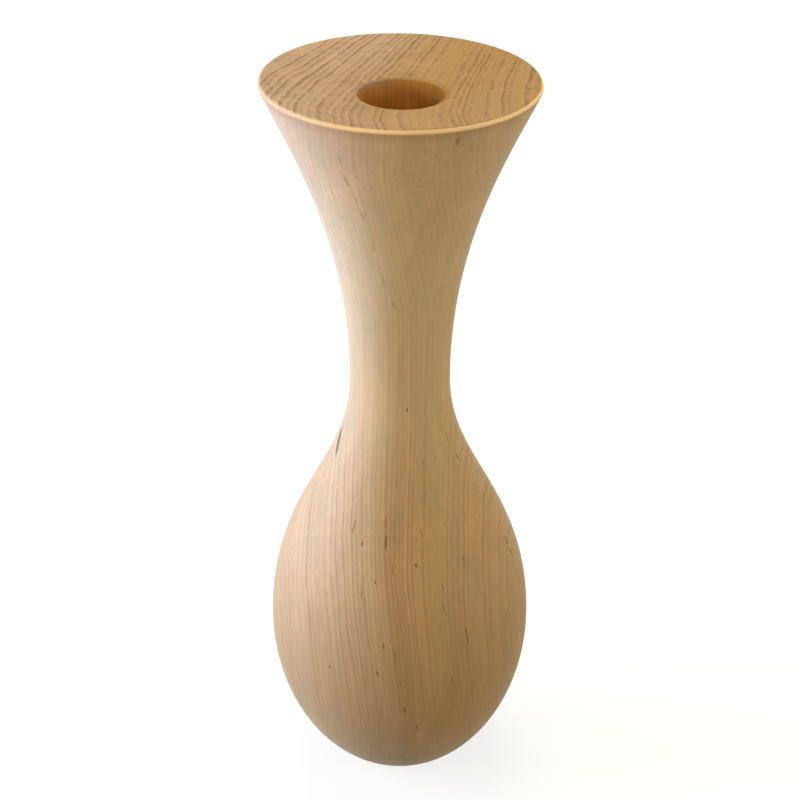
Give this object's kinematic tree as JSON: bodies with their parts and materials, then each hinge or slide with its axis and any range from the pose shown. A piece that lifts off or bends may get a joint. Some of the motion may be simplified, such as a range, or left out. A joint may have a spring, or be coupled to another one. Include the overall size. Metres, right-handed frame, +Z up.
{
  "type": "wooden vase",
  "caption": "Turned softwood vase: wide dished top with end grain, slim neck and egg-shaped bulb, bored from the top for a lift-out glass tube that holds the water.",
  "frame": {"origin": "centre of the underside, on the surface that the vase stands on", "axes": "+Z up along the turning axis, out of the mouth; the vase is the same all round, so +X and +Y are any two level directions at right angles"},
  "size_m": [0.1, 0.1, 0.283],
  "materials": {
    "wood": "sanded smooth, matt",
    "cork": "pressed cork, matt",
    "felt": "needle felt",
    "glass": "clear, polished"
  },
  "bodies": {
    "vase": {"vase_body": "wood", "cork_disc": "cork", "felt_disc": "felt"},
    "water_tube": {"water_tube": "glass"}
  },
  "joints": [
    {"name": "tube_lift", "type": "slide", "parent": "vase", "child": "water_tube", "axis": [0, 0, 1], "range_m": [0, 0.175]}
  ]
}
